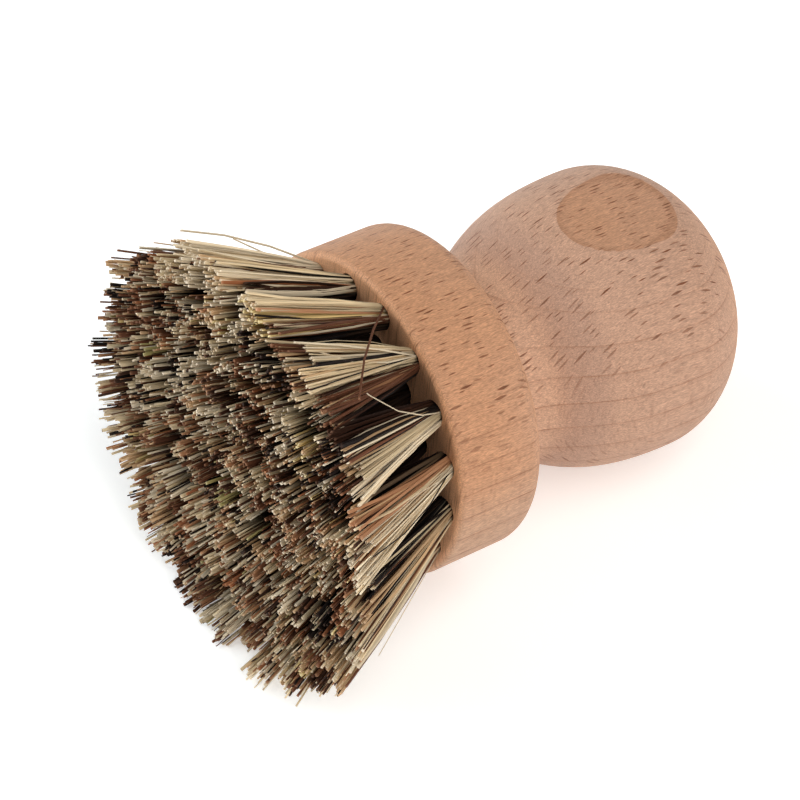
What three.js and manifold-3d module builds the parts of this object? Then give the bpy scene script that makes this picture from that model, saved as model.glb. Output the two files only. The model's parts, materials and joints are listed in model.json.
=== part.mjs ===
// Round scrubbing brush: one turned beech handle, a collar with a neck and a round knob, and 41 tufts of
// stiff plant fibre. Each tuft is folded round a wire staple and driven into a splayed blind hole in the
// collar's face, where the staple's legs bite into the wood. The brush lies on its side, as it does on a
// table, on the edge of its bristles and on its knob.
import * as THREE from "three";
import { mergeVertices } from "three/addons/utils/BufferGeometryUtils.js";
import Module from "manifold-3d";

const wasm = await Module();
wasm.setup();

const DEGREE = Math.PI / 180;
const GOLDEN_ANGLE = Math.PI * (3 - Math.sqrt(5));

// Handle, in millimetres. Places along the axis run from the collar's face towards the knob.
const COLLAR_RADIUS = 28;
const COLLAR_LENGTH = 17;
const FACE_EDGE_ROUND = 1.2;
const BACK_EDGE_ROUND = 3;
const COVE_RADIUS = 3.4; // hollow where the collar's back meets the neck
const NECK_RADIUS = 16.5;
const NECK_SWEEP = 10; // how far the sweep from neck to knob starts out along the neck
const KNOB_SWEEP = 21.5; // and how far it runs in along the knob's widest line
const KNOB_DISTANCE = 35.2; // from the collar's back to the knob's widest line
const KNOB_RADIUS = 25;
const KNOB_END_LENGTH = 19; // from the widest line to the rear pole
const FLAT_HALF_WIDTH = 9; // oval flat on top of the knob
const FLAT_TURN = 2 * DEGREE; // about the axis, from straight up towards +Y
const TURNED_FACETS = 36;
const OUTLINE_STEPS = { faceRound: 2, backRound: 4, cove: 4, sweep: 7, knobEnd: 8 };

// Tuft holes.
const HOLE_RADIUS = 2.2;
const HOLE_DEPTH = 10;
const HOLE_SIDES = 6;
const RIM_WIDTH = 1.5; // wood outside the seat of the fibre slices
const EDGE_LAND = 0.3; // wood between the edge of the seat and the outer holes
const CENTRE_RING_RADIUS = 3.8;
const CLEARANCE = 0.3;

// Rings of tufts, from the outside in. A turn is measured about the axis from straight up towards -Y.
const RINGS = [
  { name: "outer", tufts: 17, turn: 2.5 * DEGREE },
  { name: "second", tufts: 13, turn: 4.4 * DEGREE },
  { name: "third", tufts: 8, turn: 20 * DEGREE },
  { name: "centre", tufts: 3, turn: 50 * DEGREE },
];

// Bristles. A strand stands for a lock of fibres, which opens out from the hole to the trimmed end.
const BRISTLE_LENGTH = 26;
const FLARE_RADIUS = 39;
const CENTRE_FLARE_RADIUS = 5.6; // middle of the centre tufts at the trimmed end
const TUFT_SPREAD = 4.2; // half a tuft's depth at the trimmed end
const TRIM_SCATTER = 0.7;
const STRANDS_PER_TUFT = 9;
const STRAND_SIDES = 3;
const STRAND_ROOT_RADIUS = 0.36;
const STRAND_TIP_RADIUS = 0.6;
const STRAND_EDGE_GAP = 0.2; // between the wall of the hole and the outer strands
const STRAND_SINK = 1; // how far a strand runs into its slice
const SLICE_THICKNESS = 2;

// Staples, of square wire.
const WIRE = 0.6;
const STAPLE_WIDTH = 3;
const STAPLE_BITE = 3; // how far the legs run into the wood under the hole
const LEG_POINT = 0.6; // slant of the cut at the ends of the legs
const FOLD_THICKNESS = 1; // fibre between the staple and the bottom of the hole
const FOLD_INSET = 0.5; // how far the fold stands in from the packed fibre above it

// Sizes that follow from the ones above.
const FACET_TURN = Math.PI / TURNED_FACETS; // so that a facet, not an edge, faces straight down
const NECK_PLACE = COLLAR_LENGTH + COVE_RADIUS;
const KNOB_PLACE = COLLAR_LENGTH + KNOB_DISTANCE;
const FLAT_DISTANCE = Math.sqrt(KNOB_RADIUS ** 2 - FLAT_HALF_WIDTH ** 2);
const SEAT_RADIUS = COLLAR_RADIUS - RIM_WIDTH;
const SEAT_DEPTH = SLICE_THICKNESS + CLEARANCE;
const OUTER_RING_RADIUS = SEAT_RADIUS - EDGE_LAND - HOLE_RADIUS;
const OUTER_FLARE_RADIUS = FLARE_RADIUS - TUFT_SPREAD;
const ROOT_RADIUS = HOLE_RADIUS - CLEARANCE;
const ROOT_END = HOLE_DEPTH - CLEARANCE;
const CROWN_BOTTOM = ROOT_END - FOLD_THICKNESS - CLEARANCE;
const CROWN_TOP = CROWN_BOTTOM - WIRE;
const LEG_END = HOLE_DEPTH + STAPLE_BITE;
const LEG_PLACE = (STAPLE_WIDTH - WIRE) / 2;
const SOCKET_WIDTH = WIRE + 2 * CLEARANCE;

// Finishes.
const beech = new THREE.MeshStandardMaterial({ color: "#c69a79", roughness: 0.62, metalness: 0 });
const fibre = new THREE.MeshStandardMaterial({ color: "#a08457", roughness: 0.75, metalness: 0 });
const stapleWire = new THREE.MeshStandardMaterial({ color: "#b4b7ba", roughness: 0.35, metalness: 1 });

// Joining and cutting. Corners of a geometry that lie this close together are one corner.
const SAME_CORNER = 1e-4;

function solidOf(geometry) {
  const bare = geometry.clone();
  bare.deleteAttribute("normal");
  bare.deleteAttribute("uv");
  const merged = mergeVertices(bare, SAME_CORNER);
  const mesh = new wasm.Mesh({
    numProp: 3,
    vertProperties: merged.getAttribute("position").array,
    triVerts: new Uint32Array(merged.index.array),
  });
  return new wasm.Manifold(mesh);
}

function geometryOf(solid) {
  const mesh = solid.getMesh();
  const geometry = new THREE.BufferGeometry();
  geometry.setAttribute("position", new THREE.BufferAttribute(mesh.vertProperties, 3));
  geometry.setIndex(new THREE.BufferAttribute(mesh.triVerts, 1));
  return geometry;
}

const joined = (solids) => solids.reduce((whole, solid) => whole.add(solid));

// A box between two corners.
function boxBetween(low, high) {
  const size = high.clone().sub(low);
  const middle = low.clone().add(high).multiplyScalar(0.5);
  return new THREE.BoxGeometry(size.x, size.y, size.z).translate(middle.x, middle.y, middle.z);
}

// A cylinder along Y between two places.
function rodBetween(radius, low, high, sides) {
  return new THREE.CylinderGeometry(radius, radius, high - low, sides).translate(0, (low + high) / 2, 0);
}

// Rings: the value for a ring lies evenly spaced between the outer ring's and the centre ring's.
function ringValue(outer, centre, index) {
  return outer - ((outer - centre) * index) / (RINGS.length - 1);
}

const ringRadius = (index) => ringValue(OUTER_RING_RADIUS, CENTRE_RING_RADIUS, index);
const flareRadius = (index) => ringValue(OUTER_FLARE_RADIUS, CENTRE_FLARE_RADIUS, index);

// Where a tuft stands: its frame has +Y down the hole, +Z away from the axis and its origin on the face.
function tuftPlaces(index) {
  const { tufts, turn } = RINGS[index];
  const radius = ringRadius(index);
  const splay = Math.atan2(flareRadius(index) - radius, BRISTLE_LENGTH);
  return Array.from({ length: tufts }, (_, number) => {
    const angle = turn + (number * 2 * Math.PI) / tufts;
    const place = new THREE.Object3D();
    place.position.set(radius * Math.sin(angle), 0, radius * Math.cos(angle));
    place.rotation.set(-splay, angle, 0, "YXZ");
    place.updateMatrix();
    return { place, angle };
  });
}

// Handle: a revolved outline from the seat of the fibre slices out over the collar, neck and knob.
function handleOutline() {
  const faceRound = new THREE.EllipseCurve(
    COLLAR_RADIUS - FACE_EDGE_ROUND, FACE_EDGE_ROUND, FACE_EDGE_ROUND, FACE_EDGE_ROUND, -Math.PI / 2, 0);
  const backRound = new THREE.EllipseCurve(
    COLLAR_RADIUS - BACK_EDGE_ROUND, COLLAR_LENGTH - BACK_EDGE_ROUND,
    BACK_EDGE_ROUND, BACK_EDGE_ROUND, 0, Math.PI / 2);
  const cove = new THREE.EllipseCurve(
    NECK_RADIUS + COVE_RADIUS, NECK_PLACE, COVE_RADIUS, COVE_RADIUS, -Math.PI / 2, -Math.PI, true);
  const sweep = new THREE.CubicBezierCurve(
    new THREE.Vector2(NECK_RADIUS, NECK_PLACE),
    new THREE.Vector2(NECK_RADIUS, NECK_PLACE + NECK_SWEEP),
    new THREE.Vector2(KNOB_RADIUS, KNOB_PLACE - KNOB_SWEEP),
    new THREE.Vector2(KNOB_RADIUS, KNOB_PLACE));
  const knobEnd = new THREE.EllipseCurve(
    0, KNOB_PLACE, KNOB_RADIUS, KNOB_END_LENGTH, 0, Math.PI / 2);
  return [
    new THREE.Vector2(0, SEAT_DEPTH),
    new THREE.Vector2(SEAT_RADIUS, SEAT_DEPTH),
    new THREE.Vector2(SEAT_RADIUS, 0),
    ...faceRound.getPoints(OUTLINE_STEPS.faceRound),
    ...backRound.getPoints(OUTLINE_STEPS.backRound),
    ...cove.getPoints(OUTLINE_STEPS.cove),
    ...sweep.getPoints(OUTLINE_STEPS.sweep).slice(1),
    ...knobEnd.getPoints(OUTLINE_STEPS.knobEnd).slice(1, -1),
    new THREE.Vector2(0, KNOB_PLACE + KNOB_END_LENGTH),
  ];
}

// A blind hole with a socket at the bottom for each leg of the staple, in the tuft's frame.
function drilledHole() {
  const hole = solidOf(rodBetween(HOLE_RADIUS, 0, HOLE_DEPTH, HOLE_SIDES));
  const sockets = [-LEG_PLACE, LEG_PLACE].map((middle) => solidOf(boxBetween(
    new THREE.Vector3(middle - SOCKET_WIDTH / 2, ROOT_END, -SOCKET_WIDTH / 2),
    new THREE.Vector3(middle + SOCKET_WIDTH / 2, LEG_END + CLEARANCE, SOCKET_WIDTH / 2))));
  return joined([hole, ...sockets]);
}

function handleGeometry() {
  const turned = new THREE.LatheGeometry(handleOutline(), TURNED_FACETS, FACET_TURN);
  const hole = drilledHole();
  const holes = RINGS.flatMap((ring, index) =>
    tuftPlaces(index).map(({ place }) => hole.transform(place.matrix.toArray())));
  const flatCut = boxBetween(
    new THREE.Vector3(-KNOB_RADIUS, NECK_PLACE, FLAT_DISTANCE),
    new THREE.Vector3(KNOB_RADIUS, KNOB_PLACE + KNOB_END_LENGTH, 2 * KNOB_RADIUS));
  flatCut.rotateY(-FLAT_TURN);
  return geometryOf(solidOf(turned).subtract(solidOf(flatCut)).subtract(joined(holes)));
}

// A flat U in the XY plane, open towards +Y, extruded to a thickness about that plane.
function flatU({ width, limb, top, crown, end, point, thickness }) {
  const half = width / 2;
  const outline = new THREE.Shape();
  outline.moveTo(-half, top);
  outline.lineTo(half, top);
  outline.lineTo(half, end);
  outline.lineTo(half - limb, end - point);
  outline.lineTo(half - limb, top + crown);
  outline.lineTo(limb - half, top + crown);
  outline.lineTo(limb - half, end - point);
  outline.lineTo(-half, end);
  outline.closePath();
  return new THREE.ExtrudeGeometry(outline, { depth: thickness, bevelEnabled: false })
    .translate(0, 0, -thickness / 2);
}

// Staple: crown across the fold of the tuft and two slant-cut legs, in the tuft's frame.
function stapleGeometry() {
  return flatU({
    width: STAPLE_WIDTH, limb: WIRE, top: CROWN_TOP, crown: WIRE, end: LEG_END, point: LEG_POINT,
    thickness: WIRE,
  });
}

// Bristles: the root of a tuft in its hole, in the tuft's frame. Under the packed fibre a loop of it
// runs round the crown of the staple, between the legs.
function tuftRoot() {
  const packedEnd = CROWN_TOP - CLEARANCE;
  const packed = solidOf(rodBetween(ROOT_RADIUS, SLICE_THICKNESS / 2, packedEnd, HOLE_SIDES));
  const loopWidth = 2 * (ROOT_RADIUS - FOLD_INSET);
  const loop = flatU({
    width: loopWidth, limb: (loopWidth - SOCKET_WIDTH) / 2,
    top: -ROOT_END, crown: FOLD_THICKNESS, end: FOLD_THICKNESS - packedEnd, point: 0,
    thickness: 2 * LEG_PLACE - SOCKET_WIDTH,
  });
  loop.rotateX(Math.PI).rotateY(Math.PI / 2);
  return packed.add(solidOf(loop));
}

// A ring-shaped slice of the collar's face that carries a ring of tufts.
function sliceGeometry(index) {
  const halfGap = CLEARANCE / 2;
  const middleTo = (other) => (ringRadius(index) + ringRadius(other)) / 2;
  const outer = index === 0 ? SEAT_RADIUS - CLEARANCE : middleTo(index - 1) - halfGap;
  const inner = index === RINGS.length - 1 ? 0 : middleTo(index + 1) + halfGap;
  const outline = [
    new THREE.Vector2(inner, 0),
    new THREE.Vector2(outer, 0),
    new THREE.Vector2(outer, SLICE_THICKNESS),
    new THREE.Vector2(inner, SLICE_THICKNESS),
  ];
  if (inner > 0) outline.push(outline[0].clone());
  return new THREE.LatheGeometry(outline, TURNED_FACETS, FACET_TURN);
}

// An even scatter between -1 and 1 for a strand.
function scatter(tuft, strand) {
  const turns = ((tuft * STRANDS_PER_TUFT + strand) * GOLDEN_ANGLE) / (2 * Math.PI);
  return 2 * (turns % 1) - 1;
}

// A tapering strand between two points, with its root end the thinner one.
function strandGeometry(root, tip) {
  const direction = tip.clone().sub(root);
  const middle = root.clone().add(tip).multiplyScalar(0.5);
  const turn = new THREE.Quaternion().setFromUnitVectors(
    new THREE.Vector3(0, 1, 0), direction.clone().normalize());
  return new THREE.CylinderGeometry(
    STRAND_TIP_RADIUS, STRAND_ROOT_RADIUS, direction.length(), STRAND_SIDES)
    .applyQuaternion(turn)
    .translate(middle.x, middle.y, middle.z);
}

// The strands of one tuft. They keep their order as they open out, so that none cross.
function tuftStrands(index, angle, number) {
  const outward = new THREE.Vector3(Math.sin(angle), 0, Math.cos(angle));
  const around = new THREE.Vector3(Math.cos(angle), 0, -Math.sin(angle));
  const rootSpread = HOLE_RADIUS - STRAND_EDGE_GAP - STRAND_ROOT_RADIUS;
  const halfPitch = flareRadius(index) * Math.sin(Math.PI / RINGS[index].tufts);
  const tipSpread = halfPitch - STRAND_TIP_RADIUS - CLEARANCE / 2;
  return Array.from({ length: STRANDS_PER_TUFT }, (_, strand) => {
    const share = Math.sqrt((strand + 0.5) / STRANDS_PER_TUFT);
    const across = share * Math.cos((strand + number) * GOLDEN_ANGLE);
    const along = share * Math.sin((strand + number) * GOLDEN_ANGLE);
    const root = outward.clone().multiplyScalar(ringRadius(index) + rootSpread * along)
      .addScaledVector(around, rootSpread * across);
    const tip = outward.clone().multiplyScalar(flareRadius(index) + TUFT_SPREAD * along)
      .addScaledVector(around, tipSpread * across)
      .setY(-BRISTLE_LENGTH);
    const direction = tip.clone().sub(root).normalize();
    root.addScaledVector(direction, -STRAND_SINK);
    tip.addScaledVector(direction, TRIM_SCATTER * scatter(number, strand));
    return solidOf(strandGeometry(root, tip));
  });
}

function bristleGeometry(index) {
  const root = tuftRoot();
  const tufts = tuftPlaces(index).flatMap(({ place, angle }, number) => [
    root.transform(place.matrix.toArray()),
    ...tuftStrands(index, angle, number),
  ]);
  return geometryOf(joined([solidOf(sliceGeometry(index)), ...tufts]));
}

// Rest: how far a piece reaches below the axis when the knob end dips by an angle.
function reachBelow(piece, dip) {
  const corners = piece.geometry.getAttribute("position");
  const corner = new THREE.Vector3();
  let reach = 0;
  for (let index = 0; index < corners.count; index += 1) {
    corner.fromBufferAttribute(corners, index);
    reach = Math.max(reach, corner.y * Math.sin(dip) - corner.z * Math.cos(dip));
  }
  return reach;
}

// The dip at which the edge of the bristles and the knob touch the table together.
function restingDip(handle, bristles) {
  let low = 0;
  let high = Math.PI / 4;
  for (let step = 0; step < 30; step += 1) {
    const dip = (low + high) / 2;
    if (reachBelow(handle, dip) < reachBelow(bristles, dip)) low = dip;
    else high = dip;
  }
  return low;
}

// The brush in its own frame: +Y runs from the bristles to the knob, and +Z is its upper side at rest.
const brush = new THREE.Group();

function addPiece(name, geometry, material) {
  const piece = new THREE.Mesh(geometry, material);
  piece.name = name;
  brush.add(piece);
  return piece;
}

const handle = addPiece("handle", handleGeometry(), beech);
const bristles = RINGS.map((ring, index) =>
  addPiece(`bristles_${ring.name}_ring`, bristleGeometry(index), fibre));
const staple = stapleGeometry();
RINGS.forEach((ring, index) => {
  tuftPlaces(index).forEach(({ place }, number) => {
    const name = `staple_${ring.name}_${String(number + 1).padStart(2, "0")}`;
    const piece = addPiece(name, staple, stapleWire);
    piece.position.copy(place.position);
    piece.quaternion.copy(place.quaternion);
  });
});

// Laid on the table: +X towards the knob, origin under the middle of the brush.
brush.rotation.z = -Math.PI / 2;
const lying = new THREE.Group();
lying.rotation.y = restingDip(handle, bristles[0]);
lying.add(brush);
const part = new THREE.Group();
part.add(lying);
part.updateMatrixWorld(true);
const box = new THREE.Box3().setFromObject(part, true);
const middle = box.getCenter(new THREE.Vector3());
lying.position.set(-middle.x, -middle.y, -box.min.z);

export default part;
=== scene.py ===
"""A round scrubbing brush, lying on its side: a turned beech knob, a neck, and a collar drilled for four
rings of tufts. Each tuft is a bundle of stiff plant fibre, cream, straw, brown and near black."""

import json
import math
import random
from collections import namedtuple

import bmesh
import bpy
from mathutils import Color, Matrix, Vector
from mathutils.geometry import interpolate_bezier


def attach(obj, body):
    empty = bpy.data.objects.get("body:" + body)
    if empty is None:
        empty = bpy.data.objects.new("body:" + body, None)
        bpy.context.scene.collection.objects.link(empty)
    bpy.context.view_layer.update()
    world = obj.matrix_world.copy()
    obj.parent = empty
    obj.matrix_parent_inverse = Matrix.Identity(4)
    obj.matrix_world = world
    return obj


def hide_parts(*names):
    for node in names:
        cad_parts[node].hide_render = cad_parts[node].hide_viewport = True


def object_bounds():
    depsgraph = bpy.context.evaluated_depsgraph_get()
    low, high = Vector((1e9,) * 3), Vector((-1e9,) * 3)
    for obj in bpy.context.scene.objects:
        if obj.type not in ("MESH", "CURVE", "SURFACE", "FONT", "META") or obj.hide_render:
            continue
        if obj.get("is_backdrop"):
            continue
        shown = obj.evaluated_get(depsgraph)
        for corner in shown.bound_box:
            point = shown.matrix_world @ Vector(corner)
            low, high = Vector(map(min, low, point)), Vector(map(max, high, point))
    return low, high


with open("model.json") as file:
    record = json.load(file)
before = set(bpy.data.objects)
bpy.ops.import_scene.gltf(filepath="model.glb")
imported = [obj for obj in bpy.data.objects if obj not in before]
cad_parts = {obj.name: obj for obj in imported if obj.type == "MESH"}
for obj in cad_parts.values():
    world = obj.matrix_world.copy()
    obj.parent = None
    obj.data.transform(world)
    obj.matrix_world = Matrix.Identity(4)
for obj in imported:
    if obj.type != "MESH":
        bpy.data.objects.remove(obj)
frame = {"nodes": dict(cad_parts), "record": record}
cad_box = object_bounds()

MM = 0.001
BODY = "root"

# Handle, in millimetres. Places along the axis run from the collar's face towards the knob.
COLLAR_RADIUS = 28
COLLAR_LENGTH = 17
FACE_EDGE_ROUND = 1.2
BACK_EDGE_ROUND = 3
COVE_RADIUS = 3.4
NECK_RADIUS = 16.5
NECK_SWEEP = 10
KNOB_SWEEP = 21.5
KNOB_DISTANCE = 35.2
KNOB_RADIUS = 25
KNOB_END_LENGTH = 19
FLAT_HALF_WIDTH = 9
FLAT_TURN = math.radians(2)
FLAT_RIM = 0.3
FLAT_MIDDLE = 48.5
FLAT_HALF_LENGTH = 10.5
TURNED_STEPS = 144
FACE_EDGE_STEPS = 6
BACK_EDGE_STEPS = 9
COVE_STEPS = 10
SWEEP_POINTS = 29
KNOB_END_STEPS = 26
FLAT_RIM_STEPS = 3
MERGE_DISTANCE = 0.001
HANDLE_CREASE = math.radians(40)
NECK_PLACE = COLLAR_LENGTH + COVE_RADIUS
KNOB_PLACE = COLLAR_LENGTH + KNOB_DISTANCE
FLAT_PLACE = 48.9
FLAT_DISTANCE = math.sqrt(KNOB_RADIUS ** 2 - FLAT_HALF_WIDTH ** 2)

# Tuft holes and rings of tufts. A turn is measured from straight up towards the camera's side.
HOLE_RADIUS = 2.2
HOLE_DEPTH = 10
HOLE_LEAD = 4
HOLE_SIDES = 20
Ring = namedtuple("Ring", "name radius flare tufts turn")
RINGS = (
    Ring("outer", 24, 34.8, 17, math.radians(2.5)),
    Ring("second", 17.27, 25.07, 13, math.radians(4.4)),
    Ring("third", 10.53, 15.33, 8, math.radians(20)),
    Ring("centre", 3.8, 5.6, 3, math.radians(50)),
)

# Fibres, in millimetres. A tuft is a bundle of locks, whose fibres mostly share a colour and a length.
BRISTLE_LENGTH = 26
FLARE_LIMIT = 39.5
FIBRE_SINK = 8
LOCKS_PER_TUFT = 13
FIBRES_PER_LOCK = 18
LOCK_SIZE = 0.135
ROOT_SPREAD = 2.1
TIP_DEPTH = 5
TIP_WIDTH_SHARE = 1.02
CORNER_FILL = 0.7
LOCK_JITTER = 0.9
FIBRE_JITTER = 0.6
ASTRAY_SHARE = 0.16
ASTRAY_JITTER = 1.6
FLUSH_SHARE = 0.5
FLUSH_TRIM = 0.4
CUT_BACK = (0.5, 4.5)
LONGEST_TRIM = 0.9
FIBRE_TRIM = 0.35
FIBRE_BOW = 0.35
FIBRE_HALF_WIDTH = (0.08, 0.38, 0.17)
FIBRE_FLATNESS = (0.4, 1.0)
THICKEST_HALF = 0.22
OWN_TINT_SHARE = 0.4
LOCK_SHADE = (0.88, 1.12)
FIBRE_SHADE = (0.84, 1.16)
OUTER_PALENESS = 0.35
PALENESS_JITTER = 0.25
FIBRE_SIDES = 4
FIBRE_STEPS = 3
FIBRE_CREASE = math.radians(75)
CUT_LENGTH = 0.45
CUT_SWELL = 1.02
# Painted shade deep in the bristles, on all but the outward side of the outer ring.
DEEP_SHADE_EDGE = 0.3
DEEP_SHADE_WIDTH = 0.5
# Painted light on the outward fibres of the outer ring.
PAINTED_OUTER_LIGHT = 0.12
STRAND_GAP = 5
SIDE_MAP = (0.04, 0.76)
CUT_MAP = (0.9, 0.06)
MAP_HALF_WIDTH = 0.4
TABLE_GAP = 0.15
FIBRE_CLEARANCE = TABLE_GAP + FIBRE_HALF_WIDTH[1]
SEED = 7

# Colours, as they look under white light. A fibre's cut end is paler, and light and dark are its shares.
FibreTint = namedtuple("FibreTint", "colour cut_end light dark")
CREAM = FibreTint((215, 197, 168), (222, 204, 179), 4.6, 1)
YELLOW_STRAW = FibreTint((206, 178, 120), (218, 196, 146), 0.15, 0.1)
BROWN = FibreTint((96, 57, 36), (134, 92, 66), 0.5, 3.5)
BLACK = FibreTint((22, 12, 8), (52, 34, 25), 0.4, 2.2)
FIBRE_TINTS = (
    CREAM,
    FibreTint((206, 184, 148), (214, 193, 162), 3.7, 1),
    YELLOW_STRAW,
    FibreTint((186, 151, 112), (200, 166, 130), 1.8, 1.6),
    FibreTint((156, 110, 77), (180, 135, 102), 0.6, 2.3),
    FibreTint((138, 84, 52), (168, 114, 80), 0.3, 0.9),
    BROWN,
    FibreTint((58, 33, 20), (92, 62, 45), 0.4, 2.2),
    BLACK,
    FibreTint((160, 146, 92), (186, 172, 124), 0.1, 0.06),
)
KNOB_BEECH = (191, 150, 125)
COLLAR_BEECH = (194, 142, 106)
PALE_BEECH = (190, 149, 120)
FLAT_BEECH = (186, 143, 117)
# Painted light on the neck and painted shade at the waist, not colours of the wood.
NECK_PAINTED_LIGHT = (206, 164, 136)
WAIST_PAINTED_SHADE = (170, 136, 118)
LATE_WOOD = (142, 94, 66)
RAY_BROWN = (118, 68, 42)
# End grain's own colour, painted lighter as painted light where the tufts shade the collar's face.
END_GRAIN_AND_PAINTED_LIGHT = (224, 166, 124)
DARK_WIRE = (168, 170, 172)
BRIGHT_WIRE = (206, 208, 210)
FLOOR_PAPER = (250, 250, 249)

# Tufts of the outer ring that differ, by their number from the top one: how pale they are, how far they
# spread, a colour that many of their locks have, and colours along their first and their last edge.
TuftLook = namedtuple("TuftLook", "pale spread favourite first_edge last_edge")
COMMON_LOOK = TuftLook(0.55, 1, None, None, None)
LOWER_LOOK = TuftLook(0.42, 1, None, None, None)
OUTER_LOOKS = {
    0: TuftLook(0.95, 0.62, YELLOW_STRAW, None, BROWN),
    1: TuftLook(0.58, 1.1, None, None, BROWN),
    2: TuftLook(0.5, 1, None, None, None),
    3: TuftLook(0.56, 1, None, None, BROWN),
    4: TuftLook(0.6, 1, None, BLACK, None),
    5: TuftLook(0.5, 1, None, None, BROWN),
    **{number: LOWER_LOOK for number in range(6, 13)},
    15: TuftLook(1, 1, None, None, None),
    16: TuftLook(1, 0.9, None, None, None),
}
FAVOURITE_SHARE = 0.6
FAVOURITE_START = -0.4
EDGE_START = 0.55


def linear(colour):
    """A colour of 0 to 255 as the shaders take it."""
    red, green, blue = Color([part / 255 for part in colour]).from_srgb_to_scene_linear()
    return red, green, blue, 1


# Frame of the brush


def brush_frame():
    """From the brush's own frame, in millimetres, to the part's, in metres. In the brush's frame +Z runs
    from the bristles to the knob, +X is its upper side and the origin is the middle of the collar's
    face."""
    flat = next(mount for mount in frame["record"]["mounts"] if mount["name"] == "knob_flat")
    normal = Vector(flat["axis"])
    axis = Vector((normal.z, 0, -normal.x)).normalized()
    upper = Vector((normal.x, 0, normal.z)).normalized()
    turn = Matrix((upper, axis.cross(upper), axis)).transposed()
    origin = Vector(flat["pos_m"]) - (axis * FLAT_PLACE + normal * FLAT_DISTANCE) * MM
    return Matrix.Translation(origin) @ turn.to_4x4() @ Matrix.Scale(MM, 4)


BRUSH = brush_frame()
UP = BRUSH.to_3x3().inverted() @ Vector((0, 0, MM))


def above_table(point, gap):
    """The point, or the nearest one above it that clears the table by a gap."""
    height = (BRUSH @ point).z / MM
    return point + UP * max(0, gap - height)


def piece_from(bm, name, materials):
    """Moves a mesh from the brush's frame to the part's, and makes it a piece of the brush."""
    bmesh.ops.transform(bm, matrix=BRUSH, verts=bm.verts)
    mesh = bpy.data.meshes.new(name)
    bm.to_mesh(mesh)
    bm.free()
    for material in materials:
        mesh.materials.append(material)
    piece = bpy.data.objects.new(name, mesh)
    bpy.context.scene.collection.objects.link(piece)
    return piece


# Finishes


class Finish:
    """A material, with short calls for adding nodes to it."""

    def __init__(self, name):
        self.material = bpy.data.materials.new(name)
        self.material.use_nodes = True
        self.tree = self.material.node_tree
        self.shader = self.tree.nodes["Principled BSDF"]

    def plug(self, socket, value):
        if isinstance(value, bpy.types.NodeSocket):
            self.tree.links.new(value, socket)
        else:
            socket.default_value = value

    def node(self, kind, *values, **settings):
        """A node of that kind with its first inputs plugged in order, and settings or inputs by name."""
        made = self.tree.nodes.new("ShaderNode" + kind)
        for name, value in settings.items():
            if hasattr(made, name):
                setattr(made, name, value)
        for socket, value in zip(made.inputs, values):
            self.plug(socket, value)
        for name, value in settings.items():
            if not hasattr(made, name):
                self.plug(made.inputs[name.replace("_", " ")], value)
        return made

    def math(self, operation, *values):
        return self.node("Math", *values, operation=operation).outputs[0]

    def vector(self, operation, *values):
        made = self.node("VectorMath", *values, operation=operation)
        return made.outputs["Value" if operation in ("DOT_PRODUCT", "LENGTH") else "Vector"]

    def ramp(self, value, low, high):
        """0 at low, 1 at high and smooth between."""
        return self.node("MapRange", value, low, high, 0.0, 1.0, interpolation_type="SMOOTHSTEP").outputs[0]

    def scale(self, value, limits):
        """The value from one range, the first two limits, on another, the last two."""
        return self.node("MapRange", value, *limits).outputs[0]

    def mix(self, share, first, second, blend_type="MIX"):
        made = self.node("Mix", data_type="RGBA", blend_type=blend_type)
        self.plug(made.inputs["Factor"], share)
        for socket, value in zip([x for x in made.inputs if x.type == "RGBA"], (first, second)):
            self.plug(socket, value)
        return next(x for x in made.outputs if x.type == "RGBA")

    def toned(self, colour, shade):
        """The colour, darker where shade is below 1 and lighter where it is above."""
        grey = self.node("CombineColor", shade, shade, shade).outputs[0]
        return self.mix(1.0, colour, grey, "MULTIPLY")

    def end(self, colour, roughness, height, depth):
        """Plugs the finish into the shader. The relief is depth deep, in metres, where height is 1."""
        bump = self.node("Bump", Distance=depth, Height=height)
        self.plug(self.shader.inputs["Base Color"], colour)
        self.plug(self.shader.inputs["Roughness"], roughness)
        self.plug(self.shader.inputs["Normal"], bump.outputs[0])
        return self.material


# Beech, in millimetres and in the tree's own directions. The heart of the tree lies above, HEART_TURN round
# from up. Rings narrow slowly towards it, and faster past INNER_LEVEL. Four values take the range of the
# first two to that of the last two.
HEART_TURN = math.radians(-6)
HEART_DISTANCE = 400
RING_WIDTH = 4.95
RING_START = 0.67
NARROWING = 0.0009
INNER_LEVEL = 16
INNER_NARROWING = 0.041
LAST_LEVEL = (20.4, 19.5)
RING_BAND = (0.55, 0.98)
RING_BAND_SHARE = 0.22
RING_LINE = (0.91, 0.975)
RING_END = (1, 0.99)
RING_STRENGTH = (0.35, 0.65, 0.5, 1)
RING_FADING = (5, 19, 1, 0.45)
RING_SHARE = 0.58
STRENGTH_SCALE = 0.11
WANDER = (1.6, 0.8, 0)
WANDER_SCALE = 0.035
RAY_WANDER = (0, 0.35, 0)
RAY_WANDER_SCALE = 0.3
RAY_CELL = (0.78, 6.6)
RAY_RADIUS = (0.11, 0.22)
RAY_UNEVENNESS = 0.8
RAY_SHARE = 0.9
RAY_POINTEDNESS = 1.35
RAY_EDGE = 0.05
RAY_DARKNESS = (0, 1, 0.5, 1)
RAY_FACING = (0.2, 0.62, 0.1, 1)
FLECK_CELL = (6, 0.34, 1.1)
FLECK_RADIUS = (0.42, 0.12)
FLECK_FACING = (0.2, 0.9, 0.2, 0.08)
STREAK_CELL = (0.25, 0.25, 3.5)
STREAK_SHADE = (0.3, 0.7, 0.83, 1.14)
PORE_CELL = (0.12, 0.12, 0.75)
PORE_SHADE = (0.3, 0.7, 0.72, 1.24)
PORE_ROUGHNESS = (0.2, 0.8, 0.52, 0.7)
GRAIN_RELIEF = 0.04
RAY_RELIEF = 0.8
BEECH_GLOSS = 0.3
END_RAY_CELL = (9, 0.4, 9)
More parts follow.
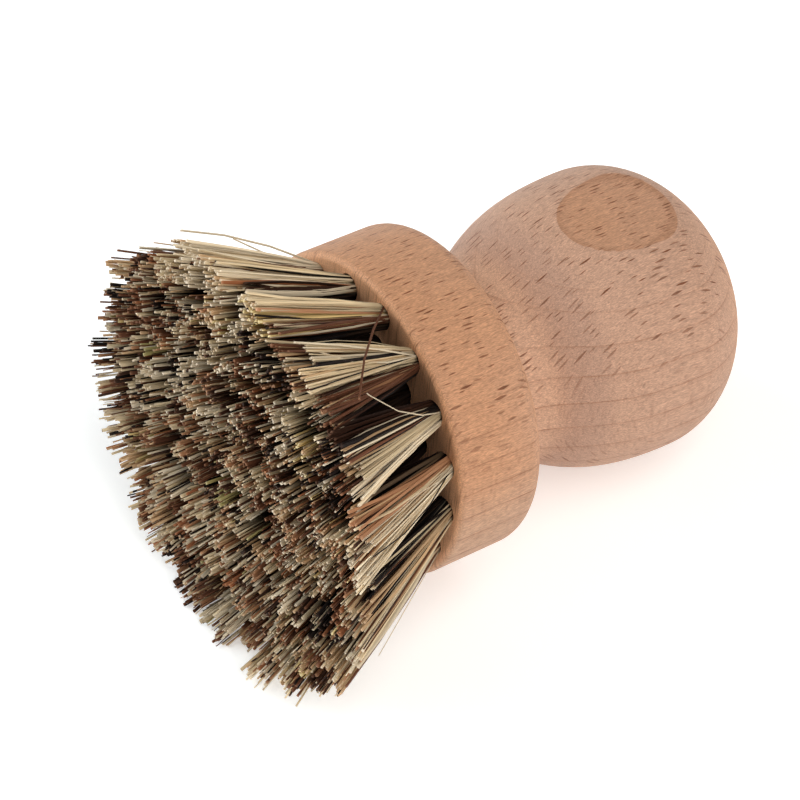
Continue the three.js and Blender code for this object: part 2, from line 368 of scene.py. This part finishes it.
END_RAY_EDGE = (0.5, 0.68)
END_RAY_SHARE = 0.45
END_GRAIN_FACING = (0.35, 1)
END_GRAIN_AND_LIGHT_SHARE = 0.75
PATCH_SCALE = 0.06
PATCH_DRIFT = 16
PALE_SIDE = (8, -6)
PINK_START = (12, 44)
# Where the painted light on the neck and the painted shade at the waist start and end along the axis.
NECK_START = (18, 21)
NECK_END = (30, 25)
WAIST_START = (26, 30)
WAIST_END = (37, 31.5)
BAND_SHARE = 0.65
FLAT_EDGE = (0.8, 0.97)
FLAT_EDGE_SHARE = 0.3


def turned_mapping(finish, angle):
    """Places in the brush's frame, in millimetres, turned about its axis. Turned by HEART_TURN they are
    places in the tree: towards the heart, round it, and along the grain."""
    to_place = Matrix.Rotation(-angle, 4, "Z") @ BRUSH.inverted()
    place, turn, size = to_place.decompose()
    coordinates = finish.node("TexCoord").outputs["Object"]
    return finish.node("Mapping", coordinates, place, turn.to_euler(), size).outputs[0]


def tree_direction(number):
    """A unit vector of the tree's frame, in the part's."""
    to_part = BRUSH.to_3x3() @ Matrix.Rotation(HEART_TURN, 3, "Z")
    return to_part.col[number].normalized()


def cells(finish, place, size):
    """Places measured in cells of that size."""
    return finish.vector("DIVIDE", place, size)


def wandering(finish, place, scale, size):
    """The place, moved a little by a soft noise, because grain is never quite straight."""
    noise = finish.node("TexNoise", place, Scale=scale, Detail=1.0).outputs["Color"]
    offset = finish.vector("SUBTRACT", noise, (0.5, 0.5, 0.5))
    return finish.vector("ADD", place, finish.vector("MULTIPLY", offset, size))


def grain_noise(finish, place, size, detail):
    return finish.node("TexNoise", cells(finish, place, size), Scale=1.0, Detail=detail).outputs[0]


def growth_rings(finish, place):
    """A thin darker line at the end of each year, fainter in places and towards the heart."""
    to_heart, round_heart = finish.node("SeparateXYZ", place).outputs[:2]
    bulge = finish.math("MULTIPLY", finish.math("MULTIPLY", round_heart, round_heart), 0.5 / HEART_DISTANCE)
    level = finish.math("SUBTRACT", to_heart, bulge)
    inner = finish.math("MAXIMUM", finish.math("SUBTRACT", level, INNER_LEVEL), 0.0)
    years = finish.math("DIVIDE", level, RING_WIDTH)
    for depth, narrowing in ((level, NARROWING), (inner, INNER_NARROWING)):
        square = finish.math("MULTIPLY", depth, depth)
        years = finish.math("MULTIPLY_ADD", square, narrowing, years)
    year = finish.math("FRACT", finish.math("SUBTRACT", years, RING_START))
    band = finish.math("MULTIPLY", finish.ramp(year, *RING_BAND), RING_BAND_SHARE)
    line = finish.math("ADD", finish.ramp(year, *RING_LINE), band)
    line = finish.math("MULTIPLY", line, finish.ramp(year, *RING_END))
    strength = finish.node("TexNoise", place, Scale=STRENGTH_SCALE, Detail=1.0).outputs[0]
    strength = finish.scale(strength, RING_STRENGTH)
    fading = finish.scale(level, RING_FADING)
    fading = finish.math("MULTIPLY", fading, finish.ramp(level, *LAST_LEVEL))
    return finish.math("MULTIPLY", line, finish.math("MULTIPLY", strength, fading))


def rays(finish, place):
    """Thin spindles along the grain, which run on towards the heart."""
    bent = wandering(finish, place, RAY_WANDER_SCALE, RAY_WANDER)
    round_heart, along = finish.node("SeparateXYZ", bent).outputs[1:]
    across = finish.node("CombineXYZ", round_heart, along, 0.0).outputs[0]
    ray = finish.node(
        "TexVoronoi", cells(finish, across, (*RAY_CELL, 1)), Scale=1.0, Exponent=RAY_POINTEDNESS,
        Randomness=RAY_UNEVENNESS, voronoi_dimensions="2D", distance="MINKOWSKI")
    chance, depth = finish.node("SeparateColor", ray.outputs["Color"]).outputs[:2]
    size = finish.scale(chance, (1 - RAY_SHARE, 1, *RAY_RADIUS))
    size = finish.math("MULTIPLY", size, finish.math("GREATER_THAN", chance, 1 - RAY_SHARE))
    inside = finish.ramp(finish.math("SUBTRACT", size, ray.outputs["Distance"]), 0, RAY_EDGE)
    return finish.math("MULTIPLY", inside, finish.scale(depth, RAY_DARKNESS))


def beech(name, ground):
    """Beech, with growth rings, dark spindle-shaped rays and fine pores. Ground is its colour."""
    finish = Finish(name)
    place = wandering(finish, turned_mapping(finish, HEART_TURN), WANDER_SCALE, WANDER)
    normal = finish.node("NewGeometry").outputs["Normal"]
    facing_out = finish.math("ABSOLUTE", finish.vector("DOT_PRODUCT", normal, tree_direction(0)))
    facing_end = finish.math("ABSOLUTE", finish.vector("DOT_PRODUCT", normal, tree_direction(2)))

    spindles = rays(finish, place)
    fleck = finish.node("TexVoronoi", cells(finish, place, FLECK_CELL), Scale=1.0)
    flecks = finish.ramp(fleck.outputs["Distance"], *FLECK_RADIUS)
    streak = grain_noise(finish, place, STREAK_CELL, 3.0)
    pore = grain_noise(finish, place, PORE_CELL, 2.0)
    end_rays = finish.ramp(grain_noise(finish, place, END_RAY_CELL, 2.0), *END_RAY_EDGE)

    patch = finish.node("TexNoise", place, Scale=PATCH_SCALE, Detail=1.0).outputs[0]
    colour = ground(finish, place, patch)
    ring_share = finish.math("MULTIPLY", growth_rings(finish, place), RING_SHARE)
    colour = finish.mix(ring_share, colour, linear(LATE_WOOD))
    # End grain takes its own colour, painted lighter: partly the wood's end grain, partly painted light.
    end_share = finish.ramp(facing_end, *END_GRAIN_FACING)
    colour = finish.mix(finish.math("MULTIPLY", end_share, END_GRAIN_AND_LIGHT_SHARE), colour, linear(END_GRAIN_AND_PAINTED_LIGHT))
    end_rays = finish.math("MULTIPLY", end_rays, finish.math("MULTIPLY", end_share, END_RAY_SHARE))
    colour = finish.mix(end_rays, colour, linear(RAY_BROWN))
    for marks, facing in ((flecks, FLECK_FACING), (spindles, RAY_FACING)):
        marks_share = finish.math("MULTIPLY", marks, finish.scale(facing_out, facing))
        colour = finish.mix(marks_share, colour, linear(RAY_BROWN))
    shade = finish.math("MULTIPLY", finish.scale(streak, STREAK_SHADE), finish.scale(pore, PORE_SHADE))
    colour = finish.toned(colour, shade)

    height = finish.math("SUBTRACT", pore, finish.math("MULTIPLY", spindles, RAY_RELIEF))
    finish.shader.inputs["Specular IOR Level"].default_value = BEECH_GLOSS
    return finish.end(colour, finish.scale(pore, PORE_ROUGHNESS), height, GRAIN_RELIEF * MM)


def turned_ground(finish, place, patch):
    """The knob is a shade pinker than the collar, whose lower side is pale. The neck is painted paler, as
    painted light, next to a greyer band of painted shade at the waist."""
    to_heart, _, along = finish.node("SeparateXYZ", place).outputs
    drift = finish.math("MULTIPLY_ADD", patch, PATCH_DRIFT, along)
    collar = finish.mix(finish.ramp(to_heart, *PALE_SIDE), linear(COLLAR_BEECH), linear(PALE_BEECH))
    turned = finish.mix(finish.ramp(drift, *PINK_START), collar, linear(KNOB_BEECH))
    for start, end, colour in ((NECK_START, NECK_END, NECK_PAINTED_LIGHT), (WAIST_START, WAIST_END, WAIST_PAINTED_SHADE)):
        band = finish.math("MULTIPLY", finish.ramp(along, *start), finish.ramp(along, *end))
        turned = finish.mix(finish.math("MULTIPLY", band, BAND_SHARE), turned, linear(colour))
    return turned


def sanded_ground(finish, place, patch):
    """The flat, a little darker along its rim."""
    offset = finish.vector("SUBTRACT", turned_mapping(finish, -FLAT_TURN), (FLAT_DISTANCE, 0, FLAT_MIDDLE))
    from_middle = finish.vector("LENGTH", cells(finish, offset, (1, FLAT_HALF_WIDTH, FLAT_HALF_LENGTH)))
    sanded = finish.mix(patch, linear(FLAT_BEECH), linear(COLLAR_BEECH))
    rim = finish.math("MULTIPLY", finish.ramp(from_middle, *FLAT_EDGE), FLAT_EDGE_SHARE)
    return finish.mix(rim, sanded, linear(LATE_WOOD))


STRAND_CELL = (0.5, 0.3, 1)
# Painted shade: warm near black deep among the fibres, and darker towards the roots.
PAINTED_DEEP_SHADE = (0.022, 0.011, 0.006, 1)
DEEP_SHADE_START = (0.81, 0.63)
STRAND_SHADE = (0.3, 0.7, 0.78, 1.16)
PAINTED_ROOT_SHADE = (0.18, 0.36, 0.6, 1)
FIBRE_ROUGHNESS = (0.2, 0.8, 0.55, 0.8)
FIBRE_RELIEF = 0.03
FIBRE_GLOSS = 0.18


def plant_fibre():
    """Dull, slightly streaked fibre, each in its own tint, darker at its root and deep among others:
    painted shade.
    """
    finish = Finish("plant_fibre")
    tint = finish.node("Attribute", attribute_name="tint").outputs["Color"]
    along = finish.node("Attribute", attribute_name="along").outputs["Fac"]
    across = finish.node("Attribute", attribute_name="across").outputs["Fac"]
    strand = finish.node("CombineXYZ", across, along, 0.0).outputs[0]
    streak = finish.node("TexNoise", cells(finish, strand, STRAND_CELL), Scale=1.0, Detail=2.0).outputs[0]
    shelter = finish.node("Attribute", attribute_name="shelter").outputs["Fac"]
    # Painted shade deep among other fibres, where little light reaches.
    depth = finish.math("MULTIPLY", finish.ramp(along, *DEEP_SHADE_START), shelter)
    # Painted shade towards each fibre's root.
    shade = finish.math("MULTIPLY", finish.scale(streak, STRAND_SHADE), finish.scale(along, PAINTED_ROOT_SHADE))
    colour = finish.mix(depth, finish.toned(tint, shade), PAINTED_DEEP_SHADE, "MULTIPLY")
    finish.shader.inputs["Specular IOR Level"].default_value = FIBRE_GLOSS
    return finish.end(colour, finish.scale(streak, FIBRE_ROUGHNESS), streak, FIBRE_RELIEF * MM)


WIRE_MARK_SCALE = 2500
WIRE_ROUGHNESS = (0.3, 0.7, 0.25, 0.45)
WIRE_RELIEF = 0.01


def staple_steel():
    """Drawn wire, bright with faint marks."""
    finish = Finish("staple_steel")
    coordinates = finish.node("TexCoord").outputs["Object"]
    marks = finish.node("TexNoise", coordinates, Scale=WIRE_MARK_SCALE, Detail=2.0).outputs[0]
    colour = finish.mix(marks, linear(DARK_WIRE), linear(BRIGHT_WIRE))
    finish.shader.inputs["Metallic"].default_value = 1
    return finish.end(colour, finish.scale(marks, WIRE_ROUGHNESS), marks, WIRE_RELIEF * MM)


# Tufts


Tuft = namedtuple("Tuft", "ring outward around")


def tufts_of(ring):
    for number in range(ring.tufts):
        turn = Matrix.Rotation(ring.turn + number * math.tau / ring.tufts, 3, "Z")
        yield Tuft(ring, turn.col[0], turn.col[1])


def tuft_middle(tuft, reach):
    """The middle of a tuft at a share of the bristles' length. Below 0 it lies in the hole."""
    radius = tuft.ring.radius + (tuft.ring.flare - tuft.ring.radius) * reach
    return tuft.outward * radius - Vector((0, 0, BRISTLE_LENGTH * reach))


# Handle


def arc(centre, radii, start, end, steps):
    """Points on an arc or a quarter of an oval, as distances from the axis and along it."""
    angles = [math.radians(start + (end - start) * step / steps) for step in range(steps + 1)]
    return [
        (centre[0] + radii[0] * math.cos(angle), centre[1] + radii[1] * math.sin(angle))
        for angle in angles
    ]


def round_arc(centre, radius, start, end, steps):
    return arc(centre, (radius, radius), start, end, steps)


def handle_outline():
    face_middle = COLLAR_RADIUS - FACE_EDGE_ROUND
    back_middle = (COLLAR_RADIUS - BACK_EDGE_ROUND, COLLAR_LENGTH - BACK_EDGE_ROUND)
    sweep = interpolate_bezier(
        Vector((NECK_RADIUS, NECK_PLACE)), Vector((NECK_RADIUS, NECK_PLACE + NECK_SWEEP)),
        Vector((KNOB_RADIUS, KNOB_PLACE - KNOB_SWEEP)), Vector((KNOB_RADIUS, KNOB_PLACE)), SWEEP_POINTS)
    return [
        (0, 0),
        *round_arc((face_middle, FACE_EDGE_ROUND), FACE_EDGE_ROUND, -90, 0, FACE_EDGE_STEPS),
        *round_arc(back_middle, BACK_EDGE_ROUND, 0, 90, BACK_EDGE_STEPS),
        *round_arc((NECK_RADIUS + COVE_RADIUS, NECK_PLACE), COVE_RADIUS, 270, 180, COVE_STEPS),
        *[tuple(point) for point in sweep[1:]],
        *arc((0, KNOB_PLACE), (KNOB_RADIUS, KNOB_END_LENGTH), 0, 90, KNOB_END_STEPS)[1:],
    ]


def turned_handle():
    """The outline spun round the axis."""
    bm = bmesh.new()
    outline = [bm.verts.new((radius, 0, place)) for radius, place in handle_outline()]
    for first, second in zip(outline, outline[1:]):
        bm.edges.new((first, second))
    bmesh.ops.spin(
        bm, geom=bm.verts[:] + bm.edges[:], cent=(0, 0, 0), axis=(0, 0, 1), angle=math.tau,
        steps=TURNED_STEPS, use_merge=True)
    bmesh.ops.remove_doubles(bm, verts=bm.verts, dist=MERGE_DISTANCE)
    bmesh.ops.recalc_face_normals(bm, faces=bm.faces)
    return bm


def plane_flat(bm):
    """Cuts the oval flat and eases its rim. The flat gets the second material."""
    normal = Matrix.Rotation(-FLAT_TURN, 3, "Z").col[0]
    knob = [face for face in bm.faces if face.calc_center_median().z > NECK_PLACE]
    edges = {edge for face in knob for edge in face.edges}
    verts = {vert for face in knob for vert in face.verts}
    cut = bmesh.ops.bisect_plane(
        bm, geom=[*knob, *edges, *verts], dist=MERGE_DISTANCE, plane_co=normal * FLAT_DISTANCE,
        plane_no=normal, clear_outer=True)
    corners = [part for part in cut["geom_cut"] if isinstance(part, bmesh.types.BMVert)]
    bmesh.ops.remove_doubles(bm, verts=corners, dist=FLAT_RIM)
    rim = [edge for edge in bm.edges if edge.is_boundary]
    flat = bmesh.ops.edgeloop_fill(bm, edges=rim)["faces"]
    flat[0].material_index = 1
    bmesh.ops.bevel(
        bm, geom=rim, offset=FLAT_RIM, affect="EDGES", segments=FLAT_RIM_STEPS, profile=0.5, material=-1)


def drill(handle):
    """Cuts the tuft holes into the collar's face."""
    bm = bmesh.new()
    for ring in RINGS:
        for tuft in tufts_of(ring):
            into = (tuft_middle(tuft, 0) - tuft_middle(tuft, 1)).normalized()
            middle = tuft_middle(tuft, 0) + into * (HOLE_DEPTH - HOLE_LEAD) / 2
            place = Matrix.Translation(middle) @ into.to_track_quat("Z", "X").to_matrix().to_4x4()
            bmesh.ops.create_cone(
                bm, cap_ends=True, segments=HOLE_SIDES, radius1=HOLE_RADIUS, radius2=HOLE_RADIUS,
                depth=HOLE_DEPTH + HOLE_LEAD, matrix=place)
    drills = piece_from(bm, "drills", [])
    cut = handle.modifiers.new("holes", "BOOLEAN")
    cut.object = drills
    cut.solver = "EXACT"
    drilled = bpy.data.meshes.new_from_object(handle.evaluated_get(bpy.context.evaluated_depsgraph_get()))
    handle.modifiers.remove(cut)
    handle.data = drilled
    bpy.data.objects.remove(drills)


def smooth(piece, angle):
    piece.data.shade_smooth()
    piece.data.set_sharp_from_angle(angle=angle)


def make_handle():
    bm = turned_handle()
    plane_flat(bm)
    for vert in bm.verts:
        vert.co = above_table(vert.co, 0)
    finishes = [beech("turned_beech", turned_ground), beech("sanded_beech", sanded_ground)]
    handle = piece_from(bm, "turned_handle", finishes)
    drill(handle)
    smooth(handle, HANDLE_CREASE)
    handle.modifiers.new("even_shading", "WEIGHTED_NORMAL").keep_sharp = True
    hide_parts("handle")
    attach(handle, BODY)


# Bristles


Fibre = namedtuple("Fibre", "path half_width half_thickness turn colour cut_end shelter")


def pick_tint(chance, light):
    """A fibre colour for a lock. Light is from 0, the dark side of its tuft, to 1."""
    weights = [tint.dark + (tint.light - tint.dark) * light for tint in FIBRE_TINTS]
    return chance.choices(FIBRE_TINTS, weights)[0]


def shaded(colour, shade):
    red, green, blue, solid = linear(colour)
    return red * shade, green * shade, blue * shade, solid


def scattered(chance, tuft, size):
    """A random move across a tuft."""
    return tuft.outward * chance.gauss(0, size) + tuft.around * chance.gauss(0, size)


def lock_trim(chance):
    """How far past the bristles' length a lock reaches: some locks end level, the rest are shorter."""
    level = chance.random() < FLUSH_SHARE
    return chance.gauss(0, FLUSH_TRIM) if level else -chance.uniform(*CUT_BACK)


def path_shares(length):
    """Where a fibre of that length has its steps, as shares of it. The last short step is the pale end."""
    return [*[step / FIBRE_STEPS for step in range(FIBRE_STEPS)], 1 - CUT_LENGTH / length, 1]


def fibre_path(chance, tuft, root, spread, length):
    """From the hole to the cut end."""
    tip = tuft_middle(tuft, 1) + root + spread
    outward = Vector((tip.x, tip.y, 0))
    spread = spread - outward.normalized() * max(0, outward.length - FLARE_LIMIT)
    bow = scattered(chance, tuft, FIBRE_BOW)
    path = [tuft_middle(tuft, -FIBRE_SINK / BRISTLE_LENGTH) + root]
    for share in path_shares(length):
        reach = share * length / BRISTLE_LENGTH
        bend = bow * 4 * share * (1 - share)
        point = tuft_middle(tuft, reach) + root + spread * reach + bend
        path.append(above_table(point, FIBRE_CLEARANCE))
    return path


def lock_fibres(chance, tuft, look, middle, tint):
    """The fibres of one lock, whose middle is given in shares of the tuft's width."""
    half_pitch = tuft.ring.flare * math.sin(math.pi / tuft.ring.tufts)
    tip_width = half_pitch * TIP_WIDTH_SHARE * look.spread
    lean = scattered(chance, tuft, LOCK_JITTER * look.spread)
    trim = lock_trim(chance)
    shade = chance.uniform(*LOCK_SHADE)
    for _ in range(FIBRES_PER_LOCK):
        own = pick_tint(chance, look.pale) if chance.random() < OWN_TINT_SHARE else tint
        place = middle + Vector((chance.gauss(0, LOCK_SIZE), chance.gauss(0, LOCK_SIZE)))
        place = place / max(1, place.length)
        root = tuft.outward * place.x * ROOT_SPREAD + tuft.around * place.y * ROOT_SPREAD
        sideways = place.y / math.sqrt(1 - CORNER_FILL * place.x ** 2)
        spread = tuft.outward * place.x * TIP_DEPTH + tuft.around * sideways * tip_width + lean - root
        spread += scattered(chance, tuft, ASTRAY_JITTER if chance.random() < ASTRAY_SHARE else FIBRE_JITTER)
        length = BRISTLE_LENGTH + min(LONGEST_TRIM, chance.gauss(trim, FIBRE_TRIM))
        path = fibre_path(chance, tuft, root, spread, length)
        half_width = chance.triangular(*FIBRE_HALF_WIDTH)
        half_thickness = min(THICKEST_HALF, half_width * chance.uniform(*FIBRE_FLATNESS))
        turn = Vector((chance.uniform(-1, 1), chance.uniform(-1, 1), 0)).normalized()
        outermost = place.x if tuft.ring.name == "outer" else -1
        # Painted light: the outward fibres of the outer ring are made lighter.
        own_shade = shade * chance.uniform(*FIBRE_SHADE) * (1 + PAINTED_OUTER_LIGHT * max(0, outermost))
        shelter = min(1, max(0, (DEEP_SHADE_EDGE - outermost) / DEEP_SHADE_WIDTH))
        yield Fibre(
            path, half_width, half_thickness, turn, shaded(own.colour, own_shade),
            shaded(own.cut_end, own_shade), shelter)


def tuft_fibres(chance, tuft, look):
    """A tuft's locks lie in a sunflower's order, pale ones mostly on its outer side."""
    golden = math.pi * (3 - math.sqrt(5))
    start = chance.uniform(0, math.tau)
    for number in range(LOCKS_PER_TUFT):
        distance = math.sqrt((number + 0.5) / LOCKS_PER_TUFT)
        angle = start + number * golden
        middle = Vector((math.cos(angle), math.sin(angle))) * distance
        light = look.pale + OUTER_PALENESS * middle.x + chance.gauss(0, PALENESS_JITTER)
        light = min(1, max(0, light))
        tint = pick_tint(chance, light)
        if look.favourite and middle.x > FAVOURITE_START and chance.random() < FAVOURITE_SHARE:
            tint = look.favourite
        edge = look.first_edge if middle.y < 0 else look.last_edge
        if edge and abs(middle.y) > EDGE_START:
            tint = edge
        yield from lock_fibres(chance, tuft, look, middle, tint)


# Strays of the outer ring, by their tuft's number from the top one. At the bristles' length a stray lies
# lift further out than its tuft's middle and swing further round. Curl bows it out, and hook bends its tip
# round.
Stray = namedtuple("Stray", "tuft lift swing curl hook length half_width tint")
STRAYS = (
    Stray(15, 7.1, 0, 1.2, 0, 21.5, 0.16, CREAM),
    Stray(15, 10.5, 0, -1, 0, 13, 0.12, CREAM),
    Stray(1, 4.5, -7, 1, 0, 24, 0.17, CREAM),
    Stray(1, 4, 1, 0.5, -6, 21, 0.16, CREAM),
    Stray(0, 4, 22, 1, 3, 20, 0.18, BROWN),
    Stray(5, 7.5, -2, 0, 0, 19.5, 0.07, CREAM),
    Stray(2, 5, -6, 1, -5, 15, 0.1, CREAM),
    Stray(3, 4.5, -9, 2, 3, 17, 0.08, CREAM),
)


def stray_fibre(stray, tuft):
    """A fibre that has come loose from its tuft and bends on its own."""
    length = stray.length / BRISTLE_LENGTH
    path = [tuft_middle(tuft, -FIBRE_SINK / BRISTLE_LENGTH)]
    for share in path_shares(stray.length):
        reach = share * length
        bow = stray.curl * 4 * share * (1 - share)
        start = ROOT_SPREAD * (1 - share)
        outward = tuft.outward * (start + stray.lift * reach + bow)
        around = tuft.around * (stray.swing * reach + stray.hook * share ** 3)
        path.append(above_table(tuft_middle(tuft, reach) + outward + around, FIBRE_CLEARANCE))
    tint = stray.tint
    return Fibre(
        path, stray.half_width, stray.half_width, tuft.around, linear(tint.colour), linear(tint.cut_end), 0)


def section(fibre, step):
    """The corners of a fibre's section at a step of its path."""
    before = fibre.path[max(step - 1, 0)]
    after = fibre.path[min(step + 1, len(fibre.path) - 1)]
    ahead = (after - before).normalized()
    swell = CUT_SWELL if step == len(fibre.path) - 1 else 1
    wide = ahead.cross(fibre.turn).normalized() * fibre.half_width * swell
    thin = ahead.cross(wide).normalized() * fibre.half_thickness * swell
    for side in range(FIBRE_SIDES):
        angle = side * math.tau / FIBRE_SIDES
        yield fibre.path[step] + wide * math.cos(angle) + thin * math.sin(angle)


def draw_fibres(bm, fibres):
    """Each fibre starts as a small disc in its hole and is drawn out along its path."""
    number = bm.faces.layers.int.new("number")
    corner = bm.verts.layers.int.new("corner")
    along = bm.verts.layers.float.new("along")
    across = bm.verts.layers.float.new("across")
    shelter = bm.verts.layers.float.new("shelter")
    ends = []
    for index, fibre in enumerate(fibres):
        disc = bmesh.ops.create_circle(bm, cap_ends=True, segments=FIBRE_SIDES, radius=1)["verts"]
        for side, (vert, place) in enumerate(zip(disc, section(fibre, 0))):
            vert[corner] = side
            vert[shelter] = fibre.shelter
            vert.co = place
        ends.append(disc[0].link_faces[0])
        ends[-1][number] = index
    steps = len(fibres[0].path) - 1
    for step in range(1, steps + 1):
        ends = bmesh.ops.extrude_discrete_faces(bm, faces=ends)["faces"]
        for end in ends:
            places = list(section(fibres[end[number]], step))
            for vert in end.verts:
                vert.co = places[vert[corner]]
                vert[along] = step / steps
                vert[across] = STRAND_GAP * end[number] + math.cos(vert[corner] * math.tau / FIBRE_SIDES)
    colour_fibres(bm, fibres, set(ends))
    bmesh.ops.holes_fill(bm, edges=bm.edges, sides=FIBRE_SIDES)
    bmesh.ops.recalc_face_normals(bm, faces=bm.faces)


def colour_fibres(bm, fibres, ends):
    """Tints each fibre and its cut end, and lays each out in a square of its own on the map."""
    number = bm.faces.layers.int["number"]
    corner = bm.verts.layers.int["corner"]
    along = bm.verts.layers.float["along"]
    tint = bm.loops.layers.float_color.new("tint")
    layout = bm.loops.layers.uv.new("OFBake")
    squares = math.ceil(math.sqrt(len(fibres)))
    for face in bm.faces:
        fibre = fibres[face[number]]
        row, column = divmod(face[number], squares)
        cut = face in ends
        for loop in face.loops:
            angle = loop.vert[corner] * math.tau / FIBRE_SIDES
            loop[tint] = fibre.cut_end if loop.vert[along] == 1 else fibre.colour
            middle, size = CUT_MAP if cut else SIDE_MAP
            rise = middle + size * (math.sin(angle) if cut else loop.vert[along])
            side = 0.5 + MAP_HALF_WIDTH * math.cos(angle)
            loop[layout].uv = ((column + side) / squares, (row + rise) / squares)


def make_bristles(fibre_finish):
    chance = random.Random(SEED)
    for ring in RINGS:
        looks = OUTER_LOOKS if ring.name == "outer" else {}
        fibres = []
        for number, tuft in enumerate(tufts_of(ring)):
            fibres += tuft_fibres(chance, tuft, looks.get(number, COMMON_LOOK))
            if ring.name == "outer":
                fibres += [stray_fibre(stray, tuft) for stray in STRAYS if stray.tuft == number]
        bm = bmesh.new()
        draw_fibres(bm, fibres)
        bristles = piece_from(bm, f"fibre_{ring.name}_ring", [fibre_finish])
        smooth(bristles, FIBRE_CREASE)
        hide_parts(f"bristles_{ring.name}_ring")
        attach(bristles, BODY)


def finish_staples():
    steel = staple_steel()
    for name, node in frame["nodes"].items():
        if name.startswith("staple_"):
            node.data.materials.clear()
            node.data.materials.append(steel)


# Camera and lights, in millimetres from the middle of the collar's face
CAMERA_AZIMUTH = math.radians(-34.76)
CAMERA_ELEVATION = math.radians(52.30)
CAMERA_DISTANCE = 519
CAMERA_SHIFT = (6.78, 2.52)
LENS = 144
SENSOR_WIDTH = 36

SoftLight = namedtuple("SoftLight", "name direction size power colour")
SOFT_LIGHTS = (
    SoftLight("key_light", (0.15, -0.55, 0.8), 900, 8.2, (1, 0.985, 0.955)),
    SoftLight("top_light", (0, 0, 1), 900, 1.6, (1, 0.985, 0.955)),
    SoftLight("back_light", (-0.6, 0.6, 0.5), 900, 9, (0.87, 0.955, 1)),
)
LIGHT_DISTANCE = 1000

# Floor, in metres
FLOOR_GLOW = 0.32
FAR_GLOW = 0.8
FLOOR_ROUGHNESS = 0.8
GLOW_RISE = (0.25, 0.8)
STAGE_RADIUS = 5
STAGE_HEIGHT = 0.8
STAGE_SIDES = 96
SKY_COLOUR = (0.97, 0.985, 1, 1)
SKY_STRENGTH = 0.03


def make_camera():
    camera = bpy.data.objects.new("camera", bpy.data.cameras.new("camera"))
    camera.data.sensor_width = SENSOR_WIDTH
    camera.data.lens = LENS
    turn = Matrix.Rotation(CAMERA_AZIMUTH, 3, "Z") @ Matrix.Rotation(math.pi / 2 - CAMERA_ELEVATION, 3, "X")
    offset = turn @ Vector((*CAMERA_SHIFT, CAMERA_DISTANCE)) * MM
    camera.matrix_world = Matrix.Translation(BRUSH.translation + offset) @ turn.to_4x4()
    bpy.context.scene.collection.objects.link(camera)
    bpy.context.scene.camera = camera


def make_light(soft_light):
    """A square soft light that faces the brush from its direction."""
    light = bpy.data.lights.new(soft_light.name, "AREA")
    light.size = soft_light.size * MM
    light.energy = soft_light.power
    light.color = soft_light.colour
    lamp = bpy.data.objects.new(soft_light.name, light)
    place = Vector(soft_light.direction).normalized()
    lamp.location = BRUSH.translation + place * LIGHT_DISTANCE * MM
    lamp.rotation_euler = place.to_track_quat("Z", "Y").to_euler()
    bpy.context.scene.collection.objects.link(lamp)


def make_stage():
    """A pale round floor with a low wall, both glowing further out, and the lights and sky."""
    bm = bmesh.new()
    bmesh.ops.create_circle(bm, cap_ends=True, segments=STAGE_SIDES, radius=STAGE_RADIUS)
    wall = bmesh.ops.extrude_edge_only(bm, edges=bm.edges[:])["geom"]
    corners = [part for part in wall if isinstance(part, bmesh.types.BMVert)]
    bmesh.ops.translate(bm, verts=corners, vec=(0, 0, STAGE_HEIGHT))
    mesh = bpy.data.meshes.new("floor")
    bm.to_mesh(mesh)
    bm.free()
    floor = bpy.data.objects.new("floor", mesh)
    paper = Finish("floor_paper")
    paper.shader.inputs["Base Color"].default_value = linear(FLOOR_PAPER)
    paper.shader.inputs["Roughness"].default_value = FLOOR_ROUGHNESS
    paper.shader.inputs["Emission Color"].default_value = (1, 1, 1, 1)
    distance = paper.vector("LENGTH", paper.node("TexCoord").outputs["Object"])
    glow = paper.scale(distance, (*GLOW_RISE, FLOOR_GLOW, FAR_GLOW))
    paper.plug(paper.shader.inputs["Emission Strength"], glow)
    mesh.materials.append(paper.material)
    bpy.context.scene.collection.objects.link(floor)
    floor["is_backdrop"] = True
    for soft_light in SOFT_LIGHTS:
        make_light(soft_light)
    world = bpy.data.worlds.new("studio")
    world.use_nodes = True
    sky = world.node_tree.nodes["Background"]
    sky.inputs["Color"].default_value = SKY_COLOUR
    sky.inputs["Strength"].default_value = SKY_STRENGTH
    bpy.context.scene.world = world
    bpy.context.scene.view_settings.view_transform = "Standard"


make_camera()
make_handle()
make_bristles(plant_fibre())
finish_staples()
make_stage()

boxes = {"cad": cad_box, "visual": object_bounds()}
{name: [list(corner) for corner in box] for name, box in boxes.items()}
